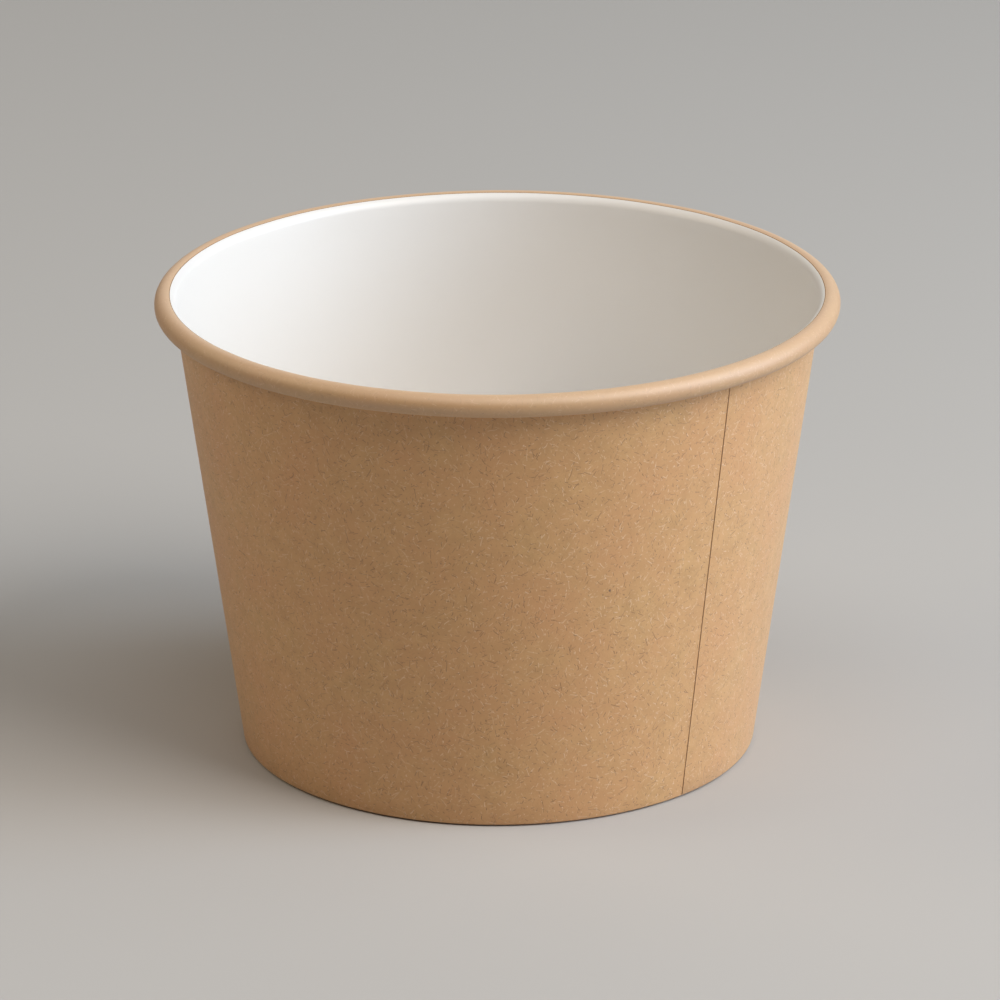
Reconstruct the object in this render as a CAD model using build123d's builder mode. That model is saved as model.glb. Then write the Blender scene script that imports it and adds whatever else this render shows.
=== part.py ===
from build123d import *
from math import asin, atan2, cos, degrees, hypot, sin, tan
import os

# A paper soup bowl, glued up from two blanks: a side wall wrapped into a tapered sleeve,
# with its top rolled into the rim and its foot hemmed round the skirt of a recessed base disc.
# Millimetres and degrees. Z is up from the table, and the origin is the centre of the foot.

# Sizes of the finished bowl
rim_diameter = 115.0  # over the rolled rim
bowl_height = 79.5  # table to the crest of the rim
foot_diameter = 87.4  # over the side wall, where its slope meets the table
bead_diameter = 3.7  # thickness of the rolled rim

# Board
board_thickness = 0.45  # of the side wall
base_board_thickness = 0.4  # of the base disc
glue_line = 0.05  # between the base's skirt and the board on either side of it

# Rolled rim: one wide turn, then a tighter one that tucks the free edge in beside the wall.
# The board is taken round each turn in short flats, which keeps the facets few.
roll_angle = 270.0
roll_flat_angle = 33.75  # from one flat of the roll to the next
tuck_angle = 90.0
tuck_flat_angle = 45.0  # from one flat of the tuck to the next
tuck_gap = 0.1  # between the tucked board and the outside of the wall

# Side seam
seam_direction = -45.8  # of the outer ply's cut edge, seen from above, from +X towards +Y
seam_overlap = 7.0  # width of the glued lap
seam_easing = 7.0  # width over which the outer ply settles back onto the plain wall

# Foot and base
base_recess = 8.0  # table to the underside of the base disc
base_bend = 0.7  # how far the bend between disc and skirt reaches along each of them
hem_height = 6.0  # table to the free edge of the hem

# The wall runs on from the foot as a tangent to the inside of the roll, which sets its flare.
bead_radius = bead_diameter / 2
bead_centre_radius = rim_diameter / 2 - bead_radius
bead_centre_height = bowl_height - bead_radius
roll_core_radius = bead_radius - board_thickness
rise_to_bead = hypot(bead_centre_radius - foot_diameter / 2, bead_centre_height)
lean_to_bead = atan2(bead_centre_radius - foot_diameter / 2, bead_centre_height)
flare = lean_to_bead - asin(roll_core_radius / rise_to_bead)
tuck_radius = roll_core_radius - tuck_gap
half_board = board_thickness / 2
half_turn = 180.0


def wall_radius(height, depth=0.0):
    """Radius of the surface that lies this deep in the wall, square to it, at a height above the table."""
    return foot_diameter / 2 + height * tan(flare) - depth / cos(flare)


def seam_plane(height, turn=0.0):
    """Level plane whose X axis points at the seam's cut edge, turned on round the bowl."""
    return Plane.XY.offset(height).rotated((0, 0, seam_direction + turn))


def arc_angle(width, height):
    """Angle that a width takes up, measured round the wall at a height."""
    return degrees(width / wall_radius(height))


def turn_corners(centre, radius, start, sweep, flat_angle):
    """Corners of a clockwise turn made of equal flats, each as near as can be to the flat's angle."""
    flats = round(sweep / flat_angle)
    return [
        centre + Vector(radius, 0).rotate(Axis.Z, start - sweep * flat / flats)
        for flat in range(flats + 1)
    ]


# Depths below the wall's outside, through the layers of the foot
skirt_outside = board_thickness + glue_line
skirt_inside = skirt_outside + base_board_thickness
hem_outside = skirt_inside + glue_line

# The roll starts where the wall's lining side touches the circle of the bead, and the tuck where
# the roll ends, about a centre on the same spoke.
roll_start = half_turn - degrees(flare)
roll_end = roll_start - roll_angle
bead_centre = Vector(bead_centre_radius, bead_centre_height)
tuck_centre = bead_centre + Vector(bead_radius - tuck_radius, 0).rotate(Axis.Z, roll_end)


def rolled_face(depth):
    """Corners of the face that lies this deep in the rolled board, from the wall to the free edge."""
    roll = turn_corners(bead_centre, bead_radius - depth, roll_start, roll_angle, roll_flat_angle)
    tuck = turn_corners(tuck_centre, tuck_radius - depth, roll_end, tuck_angle, tuck_flat_angle)
    return roll + tuck[1:]


lining_face = rolled_face(0)
kraft_face = rolled_face(board_thickness)

with BuildPart() as side_wall:
    with BuildSketch(Plane.XZ):
        # The board in section, from the hem's free edge, round the foot and up the wall
        with BuildLine():
            Polyline(
                (wall_radius(hem_height, hem_outside), hem_height),
                (wall_radius(board_thickness, hem_outside), board_thickness),
                (wall_radius(board_thickness, board_thickness), board_thickness),
                lining_face[0],
            )
            offset(amount=board_thickness, side=Side.RIGHT, kind=Kind.INTERSECTION)
        make_face()
        # The same board rolled outwards and down into the rim bead
        with BuildLine():
            Polyline(*lining_face)
            Polyline(*kraft_face)
            Line(lining_face[0], kraft_face[0])
            Line(lining_face[-1], kraft_face[-1])
        make_face()
    revolve(axis=Axis.Z)

    # Outer ply of the side seam: a full step at its cut edge, level over the lap,
    # then easing down onto the plain wall
    for height in (board_thickness, bead_centre_height):
        lap_angle = arc_angle(seam_overlap, height)
        easing_angle = arc_angle(seam_easing, height)
        with BuildSketch(seam_plane(height)):
            with BuildLine():
                ply = CenterArc((0, 0), wall_radius(height, -board_thickness), 0, lap_angle)
                bed = CenterArc(
                    (0, 0), wall_radius(height, half_board), 0, lap_angle + easing_angle
                )
                Line(ply @ 0, bed @ 0)
                Line(ply @ 1, bed @ 1)
            make_face()
    loft(ruled=True)

    # Inside, the inner ply ends at the far side of the lap, and the outer ply stands off
    # by one board there until it settles back to the plain wall
    for height in (base_recess + base_bend, bowl_height - bead_diameter):
        with BuildSketch(seam_plane(height, arc_angle(seam_overlap, height))):
            with BuildLine():
                lining = CenterArc(
                    (0, 0),
                    wall_radius(height, board_thickness + half_board),
                    0,
                    arc_angle(seam_easing, height),
                )
                step = Line(lining @ 0, (wall_radius(height), 0))
                Line(step @ 1, lining @ 1)
            make_face()
    loft(ruled=True, mode=Mode.SUBTRACT)
side_wall.part.label = "side_wall"

with BuildPart() as base_disc:
    disc_top = base_recess + base_board_thickness
    skirt_foot = board_thickness + glue_line
    with BuildSketch(Plane.XZ):
        with BuildLine():
            Polyline(
                (0, disc_top),
                (wall_radius(disc_top, skirt_outside) - base_bend, disc_top),
                (wall_radius(disc_top - base_bend, skirt_outside), disc_top - base_bend),
                (wall_radius(skirt_foot, skirt_outside), skirt_foot),
            )
            offset(amount=base_board_thickness, side=Side.RIGHT, kind=Kind.INTERSECTION)
        make_face()
    revolve(axis=Axis.Z)
base_disc.part.label = "base_disc"

os.makedirs("parts", exist_ok=True)
export_step(side_wall.part, "parts/side_wall.step")
export_step(base_disc.part, "parts/base_disc.step")
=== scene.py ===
"""Visual model of a kraft paper soup bowl, drawn over the part's CAD frame, with its studio.

Lengths are in metres and angles in degrees, unless a name says otherwise.
"""
import logging
from dataclasses import asdict, dataclass, replace
from enum import Enum, IntEnum
from math import asin, atan2, cos, degrees, hypot, pi, radians, sin, tan

import bmesh
import bpy
from mathutils import Matrix, Vector


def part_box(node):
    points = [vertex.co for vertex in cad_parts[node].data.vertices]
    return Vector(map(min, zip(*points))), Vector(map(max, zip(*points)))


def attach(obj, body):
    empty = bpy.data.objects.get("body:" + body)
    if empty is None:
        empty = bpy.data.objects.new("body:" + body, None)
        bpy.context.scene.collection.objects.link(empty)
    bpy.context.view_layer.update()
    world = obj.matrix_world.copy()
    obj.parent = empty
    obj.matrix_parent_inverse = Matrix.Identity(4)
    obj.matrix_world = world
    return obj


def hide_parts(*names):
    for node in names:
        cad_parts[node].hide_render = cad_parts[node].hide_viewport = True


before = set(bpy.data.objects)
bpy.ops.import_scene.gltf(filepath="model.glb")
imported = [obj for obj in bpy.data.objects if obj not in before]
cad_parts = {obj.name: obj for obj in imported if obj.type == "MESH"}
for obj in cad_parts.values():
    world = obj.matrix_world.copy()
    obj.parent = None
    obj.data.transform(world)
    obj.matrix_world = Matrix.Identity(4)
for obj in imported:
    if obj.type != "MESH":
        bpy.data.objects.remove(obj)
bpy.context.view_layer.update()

MM = 0.001
FULL_TURN = 2 * pi
BLACK = (0.0, 0.0, 0.0, 1.0)

Colour = tuple[float, float, float, float]
Place = tuple[float, float]
Socket = bpy.types.NodeSocket

log = logging.getLogger("paper_soup_bowl")


class Finish(IntEnum):
    """Finishes of the board's faces, in the order that the turned board's tree gives them out."""

    LINING = 0
    KRAFT = 1
    PRESSED_KRAFT = 2
    CUT_EDGE_AND_CREASE_SHADE = 3


class Easing(Enum):
    """How a ramp runs between its two ends."""

    STRAIGHT = "LINEAR"
    SMOOTH = "SMOOTHSTEP"


Materials = dict[Finish, bpy.types.Material]


# Node graphs


class Graph:
    """A node tree under construction, with short ways to add and join its nodes."""

    # Numbers of the Mix node's colour sockets, whose names aren't unique
    MIX_MASK, MIX_FIRST, MIX_SECOND, MIX_RESULT = 0, 6, 7, 2

    def __init__(self, tree: bpy.types.NodeTree) -> None:
        """Starts on a geometry or shader tree as it is."""
        self.tree = tree

    def feed(self, socket: Socket, value: object) -> None:
        """Joins another node's output to a socket, or sets the socket to a constant.

        Args:
            socket: The input to set.
            value: An output socket, or the constant itself.
        """
        if isinstance(value, Socket):
            self.tree.links.new(value, socket)
        else:
            socket.default_value = value

    def add(self, kind: str, inputs: dict | None = None, **settings: object) -> bpy.types.Node:
        """Adds a node.

        Args:
            kind: The node's type name.
            inputs: Values or sockets by the input's name or number.
            settings: The node's own properties.

        Returns:
            The new node.
        """
        node = self.tree.nodes.new(kind)
        for name, value in settings.items():
            setattr(node, name, value)
        for key, value in (inputs or {}).items():
            self.feed(node.inputs[key], value)
        return node

    def math(self, operation: str, *values: object, clamp: bool = False) -> Socket:
        """Adds a Math node, whose result is kept between 0 and 1 if it is clamped."""
        settings = {"operation": operation, "use_clamp": clamp}
        return self.add("ShaderNodeMath", dict(enumerate(values)), **settings).outputs[0]

    def vector_math(self, operation: str, inputs: dict[int | str, object]) -> Socket:
        """Adds a Vector Math node with inputs by name or number."""
        return self.add("ShaderNodeVectorMath", inputs, operation=operation).outputs[0]

    def turned(self, vector: object, angle: object) -> Socket:
        """Turns a vector about Z, by an angle in radians."""
        inputs = {"Vector": vector, "Angle": angle}
        return self.add("ShaderNodeVectorRotate", inputs, rotation_type="Z_AXIS").outputs[0]

    def joined(self, *parts: object) -> Socket:
        """Joins up to three numbers into a vector."""
        return self.add("ShaderNodeCombineXYZ", dict(enumerate(parts))).outputs[0]

    def ramp(
        self,
        value: object,
        start: object,
        end: object,
        low: object = 0.0,
        high: object = 1.0,
        easing: Easing = Easing.STRAIGHT,
    ) -> Socket:
        """Maps the range of a value from start to end onto the one from low to high, clamped."""
        inputs = dict(enumerate((value, start, end, low, high)))
        return self.add("ShaderNodeMapRange", inputs, interpolation_type=easing.value).outputs[0]

    def blend(self, mask: object, first: object, second: object) -> Socket:
        """Blends two colours.

        Args:
            mask: How much of the second colour shows.
            first: The colour underneath.
            second: The colour on top.

        Returns:
            The colour's socket.
        """
        inputs = {self.MIX_MASK: mask, self.MIX_FIRST: first, self.MIX_SECOND: second}
        node = self.add("ShaderNodeMix", inputs, data_type="RGBA")
        return node.outputs[self.MIX_RESULT]

    def surface(self, values: dict[str, object]) -> None:
        """Ends a material with a Principled BSDF that has these inputs."""
        shader = self.add("ShaderNodeBsdfPrincipled", values)
        self.add("ShaderNodeOutputMaterial", {"Surface": shader.outputs[0]})


def new_group(
    name: str, kind: str, inputs: dict[str, str], output: tuple[str, str]
) -> tuple[Graph, bpy.types.bpy_prop_collection, Socket]:
    """Makes an empty node group with one output.

    Args:
        name: The group's name.
        kind: The tree's type name.
        inputs: What each input holds, by its name.
        output: The output's name and what it holds.

    Returns:
        The graph, the group's inputs and the socket that takes its result.
    """
    tree = bpy.data.node_groups.new(name, kind)
    for label, held in inputs.items():
        tree.interface.new_socket(label, in_out="INPUT", socket_type="NodeSocket" + held)
    tree.interface.new_socket(output[0], in_out="OUTPUT", socket_type="NodeSocket" + output[1])
    graph = Graph(tree)
    entry = graph.add("NodeGroupInput")
    return graph, entry.outputs, graph.add("NodeGroupOutput").inputs[0]


# The form of the bowl


@dataclass(frozen=True)
class BowlForm:
    """Sizes of the bowl that both of its pieces are drawn from."""

    rim_radius: float
    height: float
    foot_radius: float = 43.7 * MM
    bead_radius: float = 1.85 * MM
    board: float = 0.45 * MM
    base_board: float = 0.4 * MM
    glue_line: float = 0.05 * MM
    tuck_gap: float = 0.1 * MM
    base_recess: float = 8.0 * MM
    hem_height: float = 6.0 * MM
    foot_lift: float = 0.22 * MM
    seam_direction: float = -45.8
    lap_width: float = 7.0 * MM
    easing_width: float = 7.0 * MM

    @classmethod
    def from_frame(cls) -> "BowlForm":
        """Takes the rim's radius and height from the CAD side wall, to stay inside it."""
        low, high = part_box("side_wall")
        return cls(rim_radius=min(high.x, high.y, -low.x, -low.y), height=high.z)

    @property
    def bead_centre(self) -> Place:
        """Radius and height of the middle of the rolled rim."""
        return self.rim_radius - self.bead_radius, self.height - self.bead_radius

    @property
    def bead_underside(self) -> float:
        """Height of the lowest point of the rolled rim."""
        return self.height - 2 * self.bead_radius

    @property
    def flare(self) -> float:
        """Lean of the wall in radians, which makes it a tangent to the inside of the roll."""
        across, up = self.bead_centre[0] - self.foot_radius, self.bead_centre[1]
        return atan2(across, up) - asin((self.bead_radius - self.board) / hypot(across, up))

    def wall(self, height: float, depth: float = 0.0) -> Place:
        """Finds the point at a height above the table and a depth square to the wall's outside."""
        radius = self.foot_radius + height * tan(self.flare) - depth / cos(self.flare)
        return radius, height


@dataclass(frozen=True)
class OutlinePoint:
    """One point of a board's section, and what holds for the strip that starts at it."""

    radius: float
    height: float
    finish: Finish
    lap: float = 0.0
    inner: bool = False
    uneven: float = 0.0
    slant: float = 0.0


def with_slants(points: list[OutlinePoint], last: int, start: float) -> list[OutlinePoint]:
    """Measures how far each point lies along the flat blank, which runs out to a point and back.

    Args:
        points: The outline's points.
        last: The number of the point at the far edge of the blank.
        start: Distance of the first point from the middle of the blank's sweep.

    Returns:
        The points with their distances filled in.
    """
    lengths = [0.0]
    for one, two in zip(points, points[1:]):
        lengths.append(lengths[-1] + hypot(two.radius - one.radius, two.height - one.height))
    far = lengths[last]
    there = [min(length, far) - max(length - far, 0.0) for length in lengths]
    return [replace(point, slant=start + length) for point, length in zip(points, there)]


def spoke_end(centre: Place, radius: float, direction: float) -> Place:
    """Finds the point at a radius from a centre, in a direction from outward towards up."""
    turn = radians(direction)
    return centre[0] + radius * cos(turn), centre[1] + radius * sin(turn)


def arc_points(centre: Place, radius: float, start: float, sweep: float, count: int) -> list[Place]:
    """Points along an arc, anticlockwise if the sweep is positive, its end left out."""
    return [spoke_end(centre, radius, start + sweep * step / count) for step in range(count)]


def line_points(start: Place, end: Place, count: int) -> list[Place]:
    """Points along a straight line, its end left out."""
    shares = [step / count for step in range(count)]
    return [tuple(a + (b - a) * share for a, b in zip(start, end)) for share in shares]


class TurnedBoardTree:
    """Geometry Nodes tree that turns a board's section round the bowl, with its side seam's lap.

    The board is a grid with one column to a direction and one row to a point of the outline. Its
    columns are the rounded corner of the cut edge, the lap, the easing, and the plain wall back to
    the start, where one column more closes the step.
    """

    INPUTS = {
        "Outline": "Geometry",
        "Seam Direction": "Float",
        "Lap Width": "Float",
        "Easing Width": "Float",
        "Step": "Float",
        "Rounding": "Float",
        "Lap Columns": "Int",
        "Easing Columns": "Int",
        "Plain Columns": "Int",
        "Waves": "Float",
        "Seed": "Float",
        "Wrap": "Float",
    }
    WELD = 0.001 * MM
    LOBES = 4.5
    WAVE_DETAIL = 3.0
    WAVE_SEEDS = (0.0, 5.0)
    BETWEEN = 0.5

    def __init__(self) -> None:
        """Builds the tree."""
        inputs = self.INPUTS | {finish.name: "Material" for finish in Finish}
        made = new_group("turned_board", "GeometryNodeTree", inputs, ("Board", "Geometry"))
        self.graph, self.inputs, result = made
        self.tree = self.graph.tree
        self.graph.feed(result, self._dressed(self._turned()))

    def _read(self, name: str, kind: str) -> Socket:
        """Reads an attribute of the mesh at hand."""
        inputs = {"Name": name}
        return self.graph.add("GeometryNodeInputNamedAttribute", inputs, data_type=kind).outputs[0]

    def _store(self, mesh: object, name: str, value: object, **settings: str) -> Socket:
        """Stores an attribute on a mesh, with the node's data type and domain as its settings."""
        inputs = {"Geometry": mesh, "Name": name, "Value": value}
        return self.graph.add("GeometryNodeStoreNamedAttribute", inputs, **settings).outputs[0]

    def _sample(self, value: object, index: object, kind: str) -> Socket:
        """Reads any value of the outline's points at a point's number."""
        inputs = {"Geometry": self.inputs["Outline"], "Value": value, "Index": index}
        return self.graph.add("GeometryNodeSampleIndex", inputs, data_type=kind).outputs[0]

    def _outline_value(self, name: str, index: object) -> Socket:
        """Reads an attribute of the outline at a point's number."""
        return self._sample(self._read(name, "FLOAT"), index, "FLOAT")

    def _grid_place(self, rows: object) -> tuple[Socket, Socket]:
        """Works out from its number where a point or face lies in the grid.

        Args:
            rows: How many there are to a column.

        Returns:
            Its column and its row.
        """
        graph = self.graph
        index = graph.add("GeometryNodeInputIndex").outputs[0]
        middle = graph.math("ADD", index, self.BETWEEN)
        column = graph.math("FLOOR", graph.math("DIVIDE", middle, rows))
        return column, graph.math("SUBTRACT", index, graph.math("MULTIPLY", column, rows))

    def _turned(self) -> Socket:
        """Lays the grid and turns it round the bowl.

        Returns:
            The turned board.
        """
        graph, inputs = self.graph, self.inputs
        size = graph.add("GeometryNodeAttributeDomainSize", {"Geometry": inputs["Outline"]})
        self.rows = size.outputs["Point Count"]
        self.lap_end = graph.math("ADD", inputs["Lap Columns"], 1.0)
        self.ease_end = graph.math("ADD", self.lap_end, inputs["Easing Columns"])
        self.last_plain = graph.math("ADD", self.ease_end, inputs["Plain Columns"])
        columns = graph.math("ADD", self.last_plain, 2.0)
        sizes = {"Size X": 1.0, "Size Y": 1.0, "Vertices X": columns, "Vertices Y": self.rows}
        grid = graph.add("GeometryNodeMeshGrid", sizes).outputs["Mesh"]

        self.column, self.row = self._grid_place(self.rows)
        place = graph.add("GeometryNodeInputPosition").outputs[0]
        point = self._sample(place, self.row, "FLOAT_VECTOR")
        section = graph.add("ShaderNodeSeparateXYZ", {0: point}).outputs
        radius, height = section[0], section[2]

        turn, settled = self._turns(radius)
        angle = graph.math("ADD", turn, inputs["Seam Direction"])
        side = self._outline_value("inner", self.row)
        waves = self._waves(angle)
        radius = graph.math("ADD", radius, self._ply_offset(settled, side))
        radius = graph.math("SUBTRACT", radius, waves[0])
        height = graph.math("SUBTRACT", height, waves[1])
        across = graph.math("MULTIPLY", radius, graph.math("COSINE", angle))
        along = graph.math("MULTIPLY", radius, graph.math("SINE", angle))
        target = {"Geometry": grid, "Position": graph.joined(across, along, height)}
        moved = graph.add("GeometryNodeSetPosition", target).outputs[0]
        return self._with_blank(moved, turn, side)

    def _turns(self, radius: object) -> tuple[Socket, Socket]:
        """Works out the columns' directions.

        Args:
            radius: The point's distance from the axis.

        Returns:
            How far round from the seam it lies in radians, and how far the outer ply has settled.
        """
        graph, inputs, column = self.graph, self.inputs, self.column
        rounded = graph.ramp(column, 0.0, 1.0)
        lapped = graph.ramp(column, 1.0, inputs["Lap Columns"])
        settled = graph.ramp(column, self.lap_end, self.ease_end)
        wrapped = graph.ramp(column, self.ease_end, self.last_plain)
        lap_rest = graph.math("SUBTRACT", inputs["Lap Width"], inputs["Rounding"])
        arc = graph.math("MULTIPLY", rounded, inputs["Rounding"])
        arc = graph.math("MULTIPLY_ADD", lapped, lap_rest, arc)
        arc = graph.math("MULTIPLY_ADD", settled, inputs["Easing Width"], arc)
        seam_width = graph.math("ADD", inputs["Lap Width"], inputs["Easing Width"])
        safe_radius = graph.math("MAXIMUM", radius, self.WELD)
        plain = graph.math("SUBTRACT", FULL_TURN, graph.math("DIVIDE", seam_width, safe_radius))
        turn = graph.math("DIVIDE", arc, safe_radius)
        return graph.math("MULTIPLY_ADD", wrapped, plain, turn), settled

    def _ply_offset(self, settled: object, side: object) -> Socket:
        """Stands the outer ply off over the lap, until it settles, and the inner one past it.

        Args:
            settled: How far the outer ply has settled, from 0 to 1.
            side: Whether the point lies on the lining side.

        Returns:
            How far the point moves outwards.
        """
        graph, inputs, column = self.graph, self.inputs, self.column
        left = graph.math("SUBTRACT", 1.0, graph.ramp(settled, 0.0, 1.0, easing=Easing.SMOOTH))
        closing_start = graph.math("ADD", self.last_plain, self.BETWEEN)
        closing = graph.math("GREATER_THAN", column, closing_start)
        at_edge = graph.math("ADD", graph.math("LESS_THAN", column, self.BETWEEN), closing)
        outer = graph.math("MULTIPLY", inputs["Step"], graph.math("MAXIMUM", left, closing))
        outer = graph.math("SUBTRACT", outer, graph.math("MULTIPLY", at_edge, inputs["Rounding"]))
        inner_start = graph.math("SUBTRACT", self.lap_end, self.BETWEEN)
        past_lap = graph.math("GREATER_THAN", column, inner_start)
        inner = graph.math("MULTIPLY", inputs["Step"], graph.math("MULTIPLY", left, past_lap))
        change = graph.math("MULTIPLY", side, graph.math("SUBTRACT", inner, outer))
        offset = graph.math("ADD", outer, change)
        return graph.math("MULTIPLY", offset, self._outline_value("lap", self.row))

    def _waves(self, angle: object) -> list[Socket]:
        """Gives the roll its unevenness.

        Args:
            angle: The point's direction in radians.

        Returns:
            How far the point moves inwards, and how far down.
        """
        graph, inputs = self.graph, self.inputs
        around = graph.joined(graph.math("COSINE", angle), graph.math("SINE", angle))
        waves = []
        for seed in self.WAVE_SEEDS:
            settings = {
                "Vector": around,
                "W": graph.math("ADD", inputs["Seed"], seed),
                "Scale": self.LOBES,
                "Detail": self.WAVE_DETAIL,
            }
            noise = graph.add("ShaderNodeTexNoise", settings, noise_dimensions="4D").outputs[0]
            depth = graph.math("MULTIPLY", noise, inputs["Waves"])
            waves.append(graph.math("MULTIPLY", depth, self._outline_value("uneven", self.row)))
        return waves

    def _with_blank(self, mesh: object, turn: object, side: object) -> Socket:
        """Stores where each point lies on the flat blank.

        It is kept by face corner, so that the two edges of the lap stay apart.

        Args:
            mesh: The turned board.
            turn: How far round from the seam a point lies, in radians.
            side: Whether it lies on the lining side.

        Returns:
            The board with the attribute.
        """
        graph = self.graph
        slant = self._outline_value("slant", self.row)
        swept = graph.math("MULTIPLY", turn, self.inputs["Wrap"])
        across = graph.math("MULTIPLY", slant, graph.math("COSINE", swept))
        along = graph.math("MULTIPLY", slant, graph.math("SINE", swept))
        blank = graph.joined(across, along, side)
        kind = "FLOAT_VECTOR"
        mesh = self._store(mesh, "blank_point", blank, data_type=kind, domain="POINT")
        read = self._read("blank_point", kind)
        return self._store(mesh, "blank", read, data_type=kind, domain="CORNER")

    def _dressed(self, mesh: Socket) -> Socket:
        """Gives each face the finish of its strip, and the cut edge's on the steps of the seam.

        Args:
            mesh: The turned board.

        Returns:
            The board, closed and with its materials.
        """
        graph, inputs = self.graph, self.inputs
        column, strip = self._grid_place(graph.math("SUBTRACT", self.rows, 1.0))
        finish = self._outline_value("finish", strip)
        inner = self._outline_value("inner", strip)
        outer = graph.math("LESS_THAN", inner, self.BETWEEN)
        lapped = graph.math("GREATER_THAN", self._outline_value("lap", strip), 0.0)
        outer_step = graph.math("COMPARE", column, self.last_plain, self.BETWEEN)
        outer_step = graph.math("MULTIPLY", outer_step, outer)
        inner_step = graph.math("COMPARE", column, inputs["Lap Columns"], self.BETWEEN)
        inner_step = graph.math("MULTIPLY", inner_step, inner)
        cut = graph.math("MULTIPLY", graph.math("ADD", outer_step, inner_step), lapped)
        # The ply's rounded corner takes pressed kraft, the finish with the painted highlight
        at_corner = graph.math("LESS_THAN", column, self.BETWEEN)
        rubbed = graph.math("MULTIPLY", graph.math("MULTIPLY", at_corner, lapped), outer)
        for option, mask in ((Finish.CUT_EDGE_AND_CREASE_SHADE, cut), (Finish.PRESSED_KRAFT, rubbed)):
            change = graph.math("SUBTRACT", float(option), finish)
            finish = graph.math("MULTIPLY_ADD", change, mask, finish)
        stored = self._store(mesh, "finish", finish, data_type="FLOAT", domain="FACE")
        weld = {"Geometry": stored, "Distance": self.WELD}
        merged = graph.add("GeometryNodeMergeByDistance", weld)
        real = graph.add("GeometryNodeRealizeInstances", {"Geometry": merged.outputs[0]})
        read = self._read("finish", "FLOAT")
        dressed = real.outputs[0]
        for option in Finish:
            chosen = graph.math("COMPARE", read, float(option), self.BETWEEN)
            coat = {"Geometry": dressed, "Selection": chosen, "Material": inputs[option.name]}
            dressed = graph.add("GeometryNodeSetMaterial", coat).outputs[0]
        return dressed


@dataclass(frozen=True)
class Turning:
    """How finely a board is turned, and the seam that runs down it."""

    seam_direction: float = 0.0
    lap_width: float = 0.0
    easing_width: float = 0.0
    step: float = 0.0
    rounding: float = 0.0
    lap_columns: int = 1
    easing_columns: int = 1
    plain_columns: int = 320
    waves: float = 0.0
    seed: float = 3.0
    wrap: float = 1.0
    sharp_angle: float = 32.0

    def turn(
        self,
        name: str,
        outline: list[OutlinePoint],
        tree: TurnedBoardTree,
        finishes: Materials,
    ) -> bpy.types.Object:
        """Turns an outline into a board.

        Args:
            name: The piece's name.
            outline: The points of its section.
            tree: The tree that turns it.
            finishes: The material of each finish.

        Returns:
            The piece, as a plain mesh.
        """
        mesh = bpy.data.meshes.new(name + "_section")
        places = [(point.radius, 0.0, point.height) for point in outline]
        mesh.from_pydata(places, [(i, i + 1) for i in range(len(places) - 1)], [])
        for label in ("finish", "lap", "inner", "uneven", "slant"):
            values = [float(getattr(point, label)) for point in outline]
            mesh.attributes.new(label, "FLOAT", "POINT").data.foreach_set("value", values)
        section = bpy.data.objects.new(name + "_section", mesh)
        bpy.context.scene.collection.objects.link(section)
        modifier = section.modifiers.new("turned_board", "NODES")
        modifier.node_group = tree.tree
        values = {field.replace("_", " ").title(): size for field, size in asdict(self).items()}
        values["Seam Direction"] = radians(self.seam_direction)
        values |= {finish.name: material for finish, material in finishes.items()}
        for socket in tree.tree.interface.items_tree:
            if socket.name in values:
                modifier[socket.identifier] = values[socket.name]
        evaluated = section.evaluated_get(bpy.context.evaluated_depsgraph_get())
        board = bpy.data.meshes.new_from_object(evaluated)
        board.name = name
        board.attributes.remove(board.attributes["blank_point"])
        bpy.data.objects.remove(section)
        bpy.data.meshes.remove(mesh)
        return self._finished(name, board)

    def _finished(self, name: str, board: bpy.types.Mesh) -> bpy.types.Object:
        """Turns the mesh's faces outwards and shades it smooth between sharp edges.

        Args:
            name: The piece's name.
            board: Its mesh.

        Returns:
            The piece.
        """
        shell = bmesh.new()
        shell.from_mesh(board)
        loose = [edge for edge in shell.edges if not edge.link_faces]
        bmesh.ops.delete(shell, geom=loose, context="EDGES")
        bmesh.ops.recalc_face_normals(shell, faces=shell.faces)
        if shell.calc_volume(signed=True) < 0:
            bmesh.ops.reverse_faces(shell, faces=shell.faces)
        open_edges = sum(not edge.is_manifold for edge in shell.edges)
        shell.to_mesh(board)
        shell.free()
        board.polygons.foreach_set("use_smooth", [True] * len(board.polygons))
        board.set_sharp_from_angle(angle=radians(self.sharp_angle))
        piece = bpy.data.objects.new(name, board)
        bpy.context.scene.collection.objects.link(piece)
        log.info("%s: %d open edges", name, open_edges)
        return piece


# Finishes


def new_effect(name: str, *numbers: str) -> tuple[Graph, bpy.types.bpy_prop_collection, Socket]:
    """Makes an empty shader group that makes one value of a vector and some numbers."""
    inputs = {"Vector": "Vector"} | dict.fromkeys(numbers, "Float")
    return new_group(name, "ShaderNodeTree", inputs, ("Value", "Float"))


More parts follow.
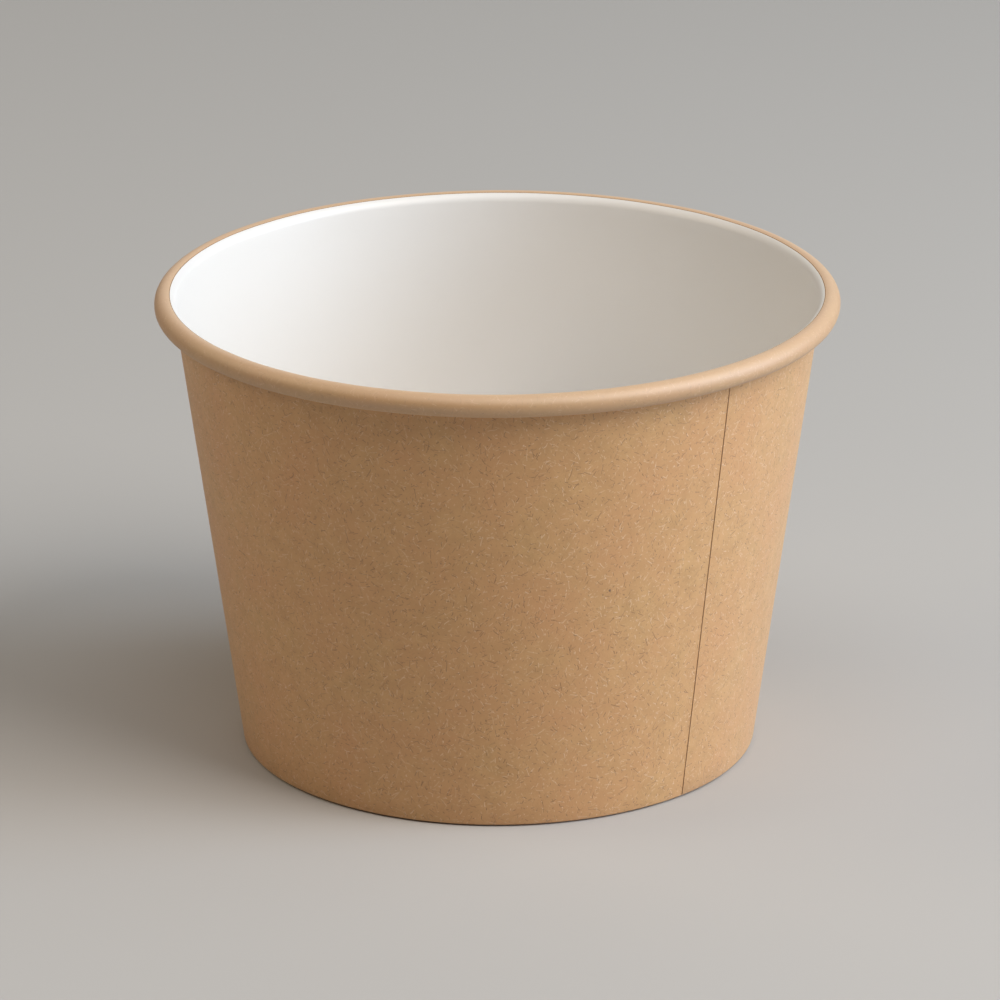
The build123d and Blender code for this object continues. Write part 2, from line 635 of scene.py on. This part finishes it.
def fibre_group() -> bpy.types.NodeTree:
    """Makes the shader group of single fibres, one short stroke to a Voronoi cell.

    Returns:
        The group. Its value runs from -1, a dark fibre, to 1, a pale one, and is 0 beside them.
    """
    least_half, half_spread = 0.15, 0.35
    core_share, edge_share = 0.2, 0.7
    numbers = ("Scale", "Length", "Width", "Curl", "Seed")
    graph, inputs, result = new_effect("paper_fibres", *numbers)
    layer = graph.turned(inputs["Vector"], inputs["Seed"])
    settings = {"Vector": layer, "Scale": inputs["Scale"], "Detail": 1.0}
    bend = graph.add("ShaderNodeTexNoise", settings).outputs["Color"]
    bend = graph.vector_math("SUBTRACT", {0: bend, 1: (0.5, 0.5, 0.5)})
    bend = graph.vector_math("SCALE", {0: bend, "Scale": inputs["Curl"]})
    where = graph.vector_math("ADD", {0: layer, 1: bend})
    settings = {"Vector": where, "Scale": inputs["Scale"]}
    cell = graph.add("ShaderNodeTexVoronoi", settings, voronoi_dimensions="2D").outputs
    pick = graph.add("ShaderNodeSeparateColor", {0: cell["Color"]}).outputs
    local = graph.vector_math("SUBTRACT", {0: where, 1: cell["Position"]})
    stroke = graph.turned(local, graph.math("MULTIPLY", pick[0], FULL_TURN))
    along = graph.add("ShaderNodeSeparateXYZ", {0: stroke}).outputs

    # Distance from the stroke, a line that is a share of the layer's length long
    half_share = graph.math("MULTIPLY_ADD", pick[1], half_spread, least_half)
    half = graph.math("MULTIPLY", inputs["Length"], half_share)
    past = graph.math("SUBTRACT", graph.math("ABSOLUTE", along[0]), half)
    past = graph.math("MAXIMUM", past, 0.0)
    squares = graph.math("ADD", graph.math("POWER", past, 2.0), graph.math("POWER", along[1], 2.0))
    apart = graph.math("SQRT", squares)
    core = graph.math("MULTIPLY", inputs["Width"], core_share)
    edge = graph.math("MULTIPLY", inputs["Width"], edge_share)
    mask = graph.ramp(apart, core, edge, 1.0, 0.0, easing=Easing.SMOOTH)
    tone = graph.math("MULTIPLY_ADD", pick[2], 2.0, -1.0)
    graph.feed(result, graph.math("MULTIPLY", mask, tone))
    return graph.tree


def mottle_group() -> bpy.types.NodeTree:
    """Makes the shader group of soft clouds in the pulp.

    Returns:
        The group, with a value from 0 to 1.
    """
    darkest, palest = 0.3, 0.7
    graph, inputs, result = new_effect("pulp_clouds", "Scale", "Seed")
    settings = {
        "Vector": inputs["Vector"],
        "Scale": inputs["Scale"],
        "W": inputs["Seed"],
        "Detail": 4.0,
        "Roughness": 0.6,
    }
    cloud = graph.add("ShaderNodeTexNoise", settings, noise_dimensions="4D").outputs[0]
    graph.feed(result, graph.ramp(cloud, darkest, palest))
    return graph.tree


def speck_group() -> bpy.types.NodeTree:
    """Makes the shader group of small specks, one in a few of a Voronoi texture's cells.

    Returns:
        The group, with the specks' mask as its value.
    """
    core_share = 0.5
    graph, inputs, result = new_effect("pulp_specks", "Scale", "Size", "Share")
    settings = {"Vector": inputs["Vector"], "Scale": inputs["Scale"]}
    cells = graph.add("ShaderNodeTexVoronoi", settings).outputs
    pick = graph.add("ShaderNodeSeparateColor", {0: cells["Color"]}).outputs
    radius = graph.math("MULTIPLY", inputs["Size"], pick[1])
    core = graph.math("MULTIPLY", radius, core_share)
    dot = graph.ramp(cells["Distance"], core, radius, 1.0, 0.0)
    kept = graph.math("LESS_THAN", pick[0], inputs["Share"])
    graph.feed(result, graph.math("MULTIPLY", dot, kept))
    return graph.tree


class Effects:
    """The shader groups that the finishes share, made once."""

    def __init__(self) -> None:
        """Makes the groups."""
        self.fibres = fibre_group()
        self.mottle = mottle_group()
        self.specks = speck_group()


class Pattern:
    """A pattern on the board, with fields that are named after the numbers of its shader group."""

    def place(self, graph: Graph, group: bpy.types.NodeTree, where: object) -> Socket:
        """Places the pattern in a material.

        Args:
            graph: The material's graph.
            group: The pattern's shader group.
            where: The coordinates that it is laid out on.

        Returns:
            The pattern's value.
        """
        node = graph.add("ShaderNodeGroup", {"Vector": where}, node_tree=group)
        for socket in node.inputs[1:]:
            socket.default_value = getattr(self, socket.name.lower())
        return node.outputs[0]


@dataclass(frozen=True)
class Clouds(Pattern):
    """Soft clouds: how many to a metre, and the seed that sets their pattern."""

    scale: float
    seed: float


@dataclass(frozen=True)
class Specks(Pattern):
    """Small specks: cells to a metre, the largest speck in cells, and the share that have one."""

    scale: float
    size: float
    share: float


@dataclass(frozen=True)
class Fibres(Pattern):
    """One layer of fibres.

    Its fields are the cells to a metre, the length and width of a fibre, how far it is bent aside,
    how strongly it shows, and the angle in radians that sets the layer's pattern.
    """

    scale: float
    length: float
    width: float
    curl: float
    strength: float
    seed: float


def new_material(name: str) -> tuple[bpy.types.Material, Graph]:
    """Makes a material without nodes.

    Args:
        name: The material's name.

    Returns:
        The material and its graph.
    """
    material = bpy.data.materials.new(name)
    material.use_nodes = True
    material.node_tree.nodes.clear()
    return material, Graph(material.node_tree)


@dataclass(frozen=True)
class KraftFinish:
    """Brown board with its short fibres showing, laid out on the flat blank.

    The clouds run from pulp to pale, and the patches tint them ruddy. A painted highlight makes
    the board paler the more its surface faces up, from the highlight's start on.
    """

    name: str = "kraft_paper"
    pulp: Colour = (0.470, 0.248, 0.068, 1.0)
    pale: Colour = (0.625, 0.350, 0.124, 1.0)
    ruddy: Colour = (0.595, 0.290, 0.100, 1.0)
    fibre_dark: Colour = (0.245, 0.100, 0.016, 1.0)
    fibre_light: Colour = (0.750, 0.525, 0.330, 1.0)
    speck: Colour = (0.160, 0.085, 0.040, 1.0)
    clouds: Clouds = Clouds(300.0, 1.0)
    patches: Clouds = Clouds(70.0, 4.0)
    grain: Clouds = Clouds(2600.0, 7.0)
    fibres: tuple[Fibres, ...] = (
        Fibres(300.0, 2.0 * MM, 0.13 * MM, 1.4 * MM, 0.9, 0.3),
        Fibres(420.0, 1.4 * MM, 0.13 * MM, 1.1 * MM, 0.9, 3.3),
        Fibres(520.0, 1.1 * MM, 0.13 * MM, 0.9 * MM, 1.0, 1.4),
        Fibres(610.0, 0.9 * MM, 0.13 * MM, 0.7 * MM, 1.0, 2.6),
        Fibres(820.0, 0.6 * MM, 0.14 * MM, 0.5 * MM, 1.0, 3.9),
        Fibres(1100.0, 0.3 * MM, 0.14 * MM, 0.3 * MM, 1.0, 5.1),
    )
    specks: tuple[Specks, ...] = (Specks(110.0, 0.035, 0.8), Specks(300.0, 0.045, 0.3))
    contrast: float = 0.75
    grain_contrast: float = 0.3
    grain_relief: float = 0.3
    fibre_relief: float = 0.6
    relief: float = 1.0
    relief_depth: float = 0.03 * MM
    roughness: float = 0.60
    gloss: float = 0.80
    ior: float = 1.5
    sheen: float = 0.15
    sheen_roughness: float = 0.8
    rubbed: float = 0.0
    rub_start: float = 0.3

    def build(self, effects: Effects) -> bpy.types.Material:
        """Builds the material.

        Args:
            effects: The shared shader groups.

        Returns:
            The material.
        """
        material, graph = new_material(self.name)
        where = graph.add("ShaderNodeAttribute", attribute_name="blank").outputs["Vector"]
        grain = self.grain.place(graph, effects.mottle, where)
        clouds = self.clouds.place(graph, effects.mottle, where)
        patches = self.patches.place(graph, effects.mottle, where)
        clouds = graph.math("MULTIPLY_ADD", grain, self.grain_contrast, clouds)
        colour = graph.blend(clouds, self.pulp, self.pale)
        colour = graph.blend(patches, colour, self.ruddy)
        relief = graph.math("MULTIPLY", grain, self.grain_relief)
        for layer in self.fibres:
            tone = layer.place(graph, effects.fibres, where)
            strength = self.contrast * layer.strength
            pale = graph.math("MULTIPLY", tone, strength, clamp=True)
            dark = graph.math("MULTIPLY", tone, -strength, clamp=True)
            colour = graph.blend(pale, colour, self.fibre_light)
            colour = graph.blend(dark, colour, self.fibre_dark)
            relief = graph.math("MULTIPLY_ADD", tone, self.fibre_relief, relief)
        for layer in self.specks:
            dots = layer.place(graph, effects.specks, where)
            colour = graph.blend(dots, colour, self.speck)
        # Painted highlight: paler the more the shading normal faces up
        if self.rubbed:
            normal = graph.add("ShaderNodeNewGeometry").outputs["Normal"]
            upward = graph.add("ShaderNodeSeparateXYZ", {0: normal}).outputs[2]
            rubbed = graph.ramp(upward, self.rub_start, 1.0, 0.0, self.rubbed)
            colour = graph.blend(rubbed, colour, self.fibre_light)
        bump = {"Height": relief, "Strength": self.relief, "Distance": self.relief_depth}
        graph.surface({
            "Normal": graph.add("ShaderNodeBump", bump).outputs[0],
            "Base Color": colour,
            "Roughness": self.roughness,
            "Specular IOR Level": self.gloss,
            "Sheen Weight": self.sheen,
            "Sheen Roughness": self.sheen_roughness,
            "IOR": self.ior,
        })
        return material


@dataclass(frozen=True)
class LiningFinish:
    """Smooth white coating of the inside."""

    name: str = "white_lining"
    colour: Colour = (0.784, 0.759, 0.728, 1.0)
    clouds: Clouds = Clouds(120.0, 8.0)
    roughness: float = 0.38
    gloss: float = 0.45
    relief: float = 0.12
    relief_depth: float = 0.02 * MM

    def build(self, effects: Effects) -> bpy.types.Material:
        """Builds the material.

        Args:
            effects: The shared shader groups.

        Returns:
            The material.
        """
        material, graph = new_material(self.name)
        where = graph.add("ShaderNodeTexCoord").outputs["Object"]
        height = self.clouds.place(graph, effects.mottle, where)
        bump = {"Height": height, "Strength": self.relief, "Distance": self.relief_depth}
        graph.surface({
            "Normal": graph.add("ShaderNodeBump", bump).outputs[0],
            "Base Color": self.colour,
            "Roughness": self.roughness,
            "Specular IOR Level": self.gloss,
        })
        return material


@dataclass(frozen=True)
class CutEdgeAndCreaseShadeFinish:
    """Raw edge of the cut board, also used as painted shade in the roll's crease."""

    name: str = "cut_board_edge_and_crease_shade"
    colour: Colour = (0.340, 0.190, 0.085, 1.0)
    clouds: Clouds = Clouds(900.0, 12.0)
    darkening: float = 0.35
    roughness: float = 0.9
    gloss: float = 0.1

    def build(self, effects: Effects) -> bpy.types.Material:
        """Builds the material.

        Args:
            effects: The shared shader groups.

        Returns:
            The material.
        """
        material, graph = new_material(self.name)
        where = graph.add("ShaderNodeTexCoord").outputs["Object"]
        clouds = self.clouds.place(graph, effects.mottle, where)
        dark = graph.math("MULTIPLY", clouds, self.darkening)
        graph.surface({
            "Base Color": graph.blend(dark, self.colour, BLACK),
            "Roughness": self.roughness,
            "Specular IOR Level": self.gloss,
        })
        return material


def board_finishes() -> Materials:
    """Builds the material of each finish.

    The pressed kraft is the stretched board of the roll: darker and shinier, with less grain, and
    with a painted highlight that makes it paler where it faces up.

    Returns:
        The materials by finish.
    """
    effects = Effects()
    pressed = KraftFinish(
        name="pressed_kraft",
        pulp=(0.435, 0.228, 0.058, 1.0),
        pale=(0.500, 0.270, 0.080, 1.0),
        ruddy=(0.490, 0.238, 0.070, 1.0),
        contrast=0.3,
        roughness=0.62,
        gloss=1.0,
        ior=1.8,
        relief=0.3,
        # Strength of the painted highlight on the roll's upward faces
        rubbed=0.32,
    )
    finishes = {
        Finish.LINING: LiningFinish(),
        Finish.KRAFT: KraftFinish(),
        Finish.PRESSED_KRAFT: pressed,
        Finish.CUT_EDGE_AND_CREASE_SHADE: CutEdgeAndCreaseShadeFinish(),
    }
    return {option: finish.build(effects) for option, finish in finishes.items()}


# The pieces


@dataclass
class SideWall:
    """The wrapped side wall with its seam, rolled rim and hemmed foot.

    Angles of the roll are measured from outward towards up. A field that ends in rows says how many
    strips of the mesh lie along a stretch of the outline.
    """

    form: BowlForm
    tree: TurnedBoardTree
    finishes: Materials
    roll_angle: float = 270.0
    tuck_angle: float = 90.0
    white_end: float = 114.5
    # Width in degrees of the painted shade strip in the crease
    crease_width: float = 3.6
    corner_rounding: float = 0.06 * MM
    pressed_step: float = 0.14 * MM
    unevenness: float = 0.12 * MM
    lining_height: float = 8.7 * MM
    lap_lead: float = 0.3 * MM
    lap_columns: int = 6
    easing_columns: int = 12
    plain_columns: int = 330
    hem_rows: int = 4
    floor_rows: int = 2
    skirt_rows: int = 3
    lining_rows: int = 18
    white_rows: int = 10
    roll_rows: int = 34
    tuck_rows: int = 10
    inner_tuck_rows: int = 8
    inner_roll_rows: int = 24
    neck_rows: int = 2
    wall_rows: int = 24
    corner_rows: int = 4
    fade_rows: int = 2
    hem_fold_rows: int = 5
    hem_back_rows: int = 3

    def outline(self) -> list[OutlinePoint]:
        """Draws the board's section as one closed line.

        Returns:
            The points, from the hem's free edge up the lining side, round the roll, and back.
        """
        form = self.form
        board, lean = form.board, degrees(form.flare)
        hem_face = board + 2 * form.glue_line + form.base_board
        centre, bead = form.bead_centre, form.bead_radius
        core, tuck = bead - board, bead - board - form.tuck_gap
        start = 180.0 - lean
        end = start - self.roll_angle
        tuck_end = end - self.tuck_angle
        kraft_start = self.white_end - self.crease_width
        tucked = spoke_end(centre, bead - tuck, end)
        points: list[OutlinePoint] = []

        def lay(places: list[Place], finish: Finish, **facts: float) -> None:
            """Adds points of one finish, with what else holds for them."""
            points.extend(OutlinePoint(*place, finish, **facts) for place in places)

        # Lining side: the hem, the fold, then the wall up to the roll
        fold_height = board + form.foot_lift
        fold_inside = form.wall(fold_height, board)
        hem_foot = form.wall(board, hem_face)
        hem_edge = form.wall(form.hem_height, hem_face)
        lead = form.wall(self.lining_height - self.lap_lead, board)
        lining_foot = form.wall(self.lining_height, board)
        under_bead = form.wall(form.bead_underside, board)
        lay(line_points(hem_edge, hem_foot, self.hem_rows), Finish.LINING, inner=True)
        lay(line_points(hem_foot, fold_inside, self.floor_rows), Finish.LINING, inner=True)
        lay(line_points(fold_inside, lead, self.skirt_rows), Finish.LINING, inner=True)
        lay([lead], Finish.LINING, inner=True)
        lining = line_points(lining_foot, under_bead, self.lining_rows)
        lay(lining + [under_bead], Finish.LINING, lap=1.0, inner=True)

        # Roll's outside: white to near its crest, painted crease shade, then kraft to the free edge
        white = arc_points(centre, bead, start, self.white_end - start, self.white_rows)
        roll = arc_points(centre, bead, kraft_start, end - kraft_start, self.roll_rows)
        lay(white, Finish.LINING, uneven=1.0, inner=True)
        # The strip after the white is cut-edge brown, painted shade in the crease
        lay([spoke_end(centre, bead, self.white_end)], Finish.CUT_EDGE_AND_CREASE_SHADE, uneven=1.0)
        lay(roll, Finish.PRESSED_KRAFT, uneven=1.0)
        turn_in = arc_points(tucked, tuck, end, -self.tuck_angle, self.tuck_rows)
        lay(turn_in, Finish.PRESSED_KRAFT, uneven=1.0)
        free_edge = len(points)
        lay([spoke_end(tucked, tuck, tuck_end)], Finish.CUT_EDGE_AND_CREASE_SHADE, uneven=1.0)

        # Kraft side: back round the roll and down the wall
        turn_out = arc_points(tucked, tuck - board, tuck_end, self.tuck_angle, self.inner_tuck_rows)
        lay(turn_out, Finish.KRAFT, uneven=1.0)
        inner_roll = arc_points(centre, core, end, self.roll_angle, self.inner_roll_rows)
        lay(inner_roll, Finish.KRAFT, uneven=1.0)
        neck = form.wall(form.bead_underside)
        lay(line_points(spoke_end(centre, core, start), neck, self.neck_rows), Finish.KRAFT)
        lay(line_points(neck, form.wall(fold_height), self.wall_rows), Finish.KRAFT, lap=1.0)

        # Round the fold, where the lap fades out, and up the back of the hem
        corner = arc_points(fold_inside, board, -lean, lean - 90.0, self.corner_rows)
        for row, place in enumerate(corner):
            lay([place], Finish.KRAFT, lap=max(0.0, 1.0 - row / self.fade_rows))
        lay([(fold_inside[0], form.foot_lift)], Finish.KRAFT)
        lay(arc_points(hem_foot, board, -90.0, -90.0 - lean, self.hem_fold_rows), Finish.KRAFT)
        hem_back = form.wall(board + board * sin(form.flare), hem_face + board)
        hem_top = form.wall(form.hem_height, hem_face + board)
        lay(line_points(hem_back, hem_top, self.hem_back_rows), Finish.KRAFT)
        lay([hem_top], Finish.CUT_EDGE_AND_CREASE_SHADE)
        start_slant = form.foot_radius / sin(form.flare) - form.hem_height - hem_face
        return with_slants(points + [points[0]], free_edge, start_slant)

    def build(self) -> bpy.types.Object:
        """Builds the wall.

        Returns:
            The piece.
        """
        form = self.form
        turning = Turning(
            seam_direction=form.seam_direction,
            lap_width=form.lap_width,
            easing_width=form.easing_width,
            step=self.pressed_step,
            rounding=self.corner_rounding,
            lap_columns=self.lap_columns,
            easing_columns=self.easing_columns,
            plain_columns=self.plain_columns,
            waves=self.unevenness,
            wrap=sin(form.flare),
        )
        piece = turning.turn("side_wall_board", self.outline(), self.tree, self.finishes)
        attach(piece, "root")
        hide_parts("side_wall")
        return piece


@dataclass
class BaseDisc:
    """The recessed base disc with its skirt.

    A field that ends in rows says how many strips of the mesh lie along a stretch of the outline.
    """

    form: BowlForm
    tree: TurnedBoardTree
    finishes: Materials
    bend_radius: float = 1.1 * MM
    columns: int = 240
    disc_rows: int = 6
    bend_rows: int = 9
    skirt_rows: int = 4
    inner_bend_rows: int = 8

    def outline(self) -> list[OutlinePoint]:
        """Draws the board's section.

        Returns:
            The points, from the middle of the disc's top to the middle of its underside.
        """
        form = self.form
        board, bend, lean = form.base_board, self.bend_radius, degrees(form.flare)
        skirt = form.board + form.glue_line
        foot = skirt + form.foot_lift
        top = form.base_recess + board
        underside = form.base_recess
        # The bend's centre lies one bend radius inside both the disc's top and the skirt's outside
        centre = form.wall(top - bend, skirt + bend)
        points: list[OutlinePoint] = []

        def lay(places: list[Place], finish: Finish) -> None:
            """Adds points of one finish."""
            points.extend(OutlinePoint(*place, finish) for place in places)

        lay(line_points((0.0, top), (centre[0], top), self.disc_rows), Finish.LINING)
        lay(arc_points(centre, bend, 90.0, -90.0 - lean, self.bend_rows), Finish.LINING)
        skirt_foot = form.wall(foot, skirt)
        skirt_top = spoke_end(centre, bend, -lean)
        lay(line_points(skirt_top, skirt_foot, self.skirt_rows), Finish.LINING)
        skirt_edge = len(points)
        lay([skirt_foot], Finish.CUT_EDGE_AND_CREASE_SHADE)
        inner_foot = form.wall(foot + board * sin(form.flare), skirt + board)
        inner_top = spoke_end(centre, bend - board, -lean)
        lay(line_points(inner_foot, inner_top, self.skirt_rows), Finish.KRAFT)
        inner_bend = arc_points(centre, bend - board, -lean, 90.0 + lean, self.inner_bend_rows)
        lay(inner_bend, Finish.KRAFT)
        lay(line_points((centre[0], underside), (0.0, underside), self.disc_rows), Finish.KRAFT)
        lay([(0.0, underside)], Finish.KRAFT)
        return with_slants(points, skirt_edge, 0.0)

    def build(self) -> bpy.types.Object:
        """Builds the disc.

        Returns:
            The piece.
        """
        turning = Turning(plain_columns=self.columns)
        piece = turning.turn("base_disc_board", self.outline(), self.tree, self.finishes)
        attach(piece, "root")
        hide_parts("base_disc")
        return piece


# The studio


@dataclass(frozen=True)
class SoftLamp:
    """A round area lamp that faces the bowl."""

    name: str
    azimuth: float
    elevation: float
    distance: float
    size: float
    power: float
    colour: tuple[float, float, float]

    def build(self) -> bpy.types.Object:
        """Hangs the lamp.

        Returns:
            The lamp.
        """
        azimuth, elevation = radians(self.azimuth), radians(self.elevation)
        level = cos(elevation)
        away = Vector((cos(azimuth) * level, sin(azimuth) * level, sin(elevation)))
        data = bpy.data.lights.new(self.name, "AREA")
        data.shape = "DISK"
        data.size = self.size
        data.energy = self.power
        data.color = self.colour
        lamp = bpy.data.objects.new(self.name, data)
        lamp.location = away * self.distance
        lamp.rotation_euler = (-away).to_track_quat("-Z", "Y").to_euler()
        bpy.context.scene.collection.objects.link(lamp)
        return lamp


@dataclass
class Studio:
    """Floor, lamps, world and camera."""

    floor_size: float = 12.0
    floor_colour: Colour = (0.484, 0.472, 0.457, 1.0)
    floor_roughness: float = 0.95
    ambient: Colour = (0.136, 0.130, 0.118, 1.0)
    lamps: tuple[SoftLamp, ...] = (
        SoftLamp("key_lamp", -34.0, 47.0, 1.4, 0.85, 12.3, (1.0, 0.94, 0.88)),
        SoftLamp("side_lamp", -5.0, 19.0, 1.4, 0.85, 13.2, (0.67, 0.82, 1.0)),
        SoftLamp("right_lamp", 10.0, 45.0, 1.4, 0.85, 2.4, (0.80, 0.92, 1.0)),
        SoftLamp("top_lamp", -90.0, 75.0, 1.4, 0.85, 3.4, (0.92, 0.95, 1.0)),
        SoftLamp("back_lamp", 90.0, 25.0, 2.5, 2.2, 6.6, (0.92, 0.97, 1.0)),
        SoftLamp("left_lamp", 180.0, 38.0, 1.4, 0.85, 4.4, (1.0, 0.82, 0.59)),
    )
    camera_place: tuple[float, float, float] = (0.0, -0.97083, 0.3927)
    camera_pitch: float = 19.8842
    camera_yaw: float = 0.0198
    camera_roll: float = -0.1761
    camera_lens_mm: float = 219.2
    camera_sensor_mm: float = 36.0
    camera_near: float = 0.05
    camera_far: float = 50.0

    def floor(self) -> bpy.types.Object:
        """Lays the matt floor, which also fills the picture's background.

        Returns:
            The floor.
        """
        half = self.floor_size / 2
        corners = [(-half, -half, 0.0), (half, -half, 0.0), (half, half, 0.0), (-half, half, 0.0)]
        mesh = bpy.data.meshes.new("studio_floor")
        mesh.from_pydata(corners, [], [(0, 1, 2, 3)])
        material, graph = new_material("studio_floor")
        graph.surface({
            "Base Color": self.floor_colour,
            "Roughness": self.floor_roughness,
            "Specular IOR Level": 0.0,
        })
        mesh.materials.append(material)
        floor = bpy.data.objects.new("studio_floor", mesh)
        bpy.context.scene.collection.objects.link(floor)
        return floor

    def world(self) -> None:
        """Gives the scene its even ambient light."""
        world = bpy.data.worlds.new("studio_world")
        world.use_nodes = True
        world.node_tree.nodes.clear()
        graph = Graph(world.node_tree)
        light = graph.add("ShaderNodeBackground", {"Color": self.ambient, "Strength": 1.0})
        graph.add("ShaderNodeOutputWorld", {"Surface": light.outputs[0]})
        bpy.context.scene.world = world

    def camera(self) -> bpy.types.Object:
        """Sets the camera that fits the photograph.

        Returns:
            The camera.
        """
        data = bpy.data.cameras.new("camera")
        data.sensor_width = self.camera_sensor_mm
        data.lens = self.camera_lens_mm
        data.clip_start = self.camera_near
        data.clip_end = self.camera_far
        camera = bpy.data.objects.new("camera", data)
        turn = Matrix.Rotation(radians(-self.camera_yaw), 4, "Z")
        turn @= Matrix.Rotation(radians(90.0 - self.camera_pitch), 4, "X")
        turn @= Matrix.Rotation(radians(self.camera_roll), 4, "Z")
        camera.matrix_world = Matrix.Translation(self.camera_place) @ turn
        bpy.context.scene.collection.objects.link(camera)
        bpy.context.scene.camera = camera
        return camera

    def build(self) -> None:
        """Builds the whole studio."""
        self.floor()
        self.world()
        for lamp in self.lamps:
            lamp.build()
        self.camera()
        bpy.context.scene.view_settings.view_transform = "Standard"


def main() -> None:
    """Builds the bowl and its studio."""
    logging.basicConfig(level=logging.INFO, format="%(name)s: %(message)s")
    form = BowlForm.from_frame()
    tree = TurnedBoardTree()
    finishes = board_finishes()
    for part in (SideWall(form, tree, finishes), BaseDisc(form, tree, finishes)):
        piece = part.build()
        log.info("built %s, %d faces", piece.name, len(piece.data.polygons))
    Studio().build()


if __name__ == "__main__":
    main()
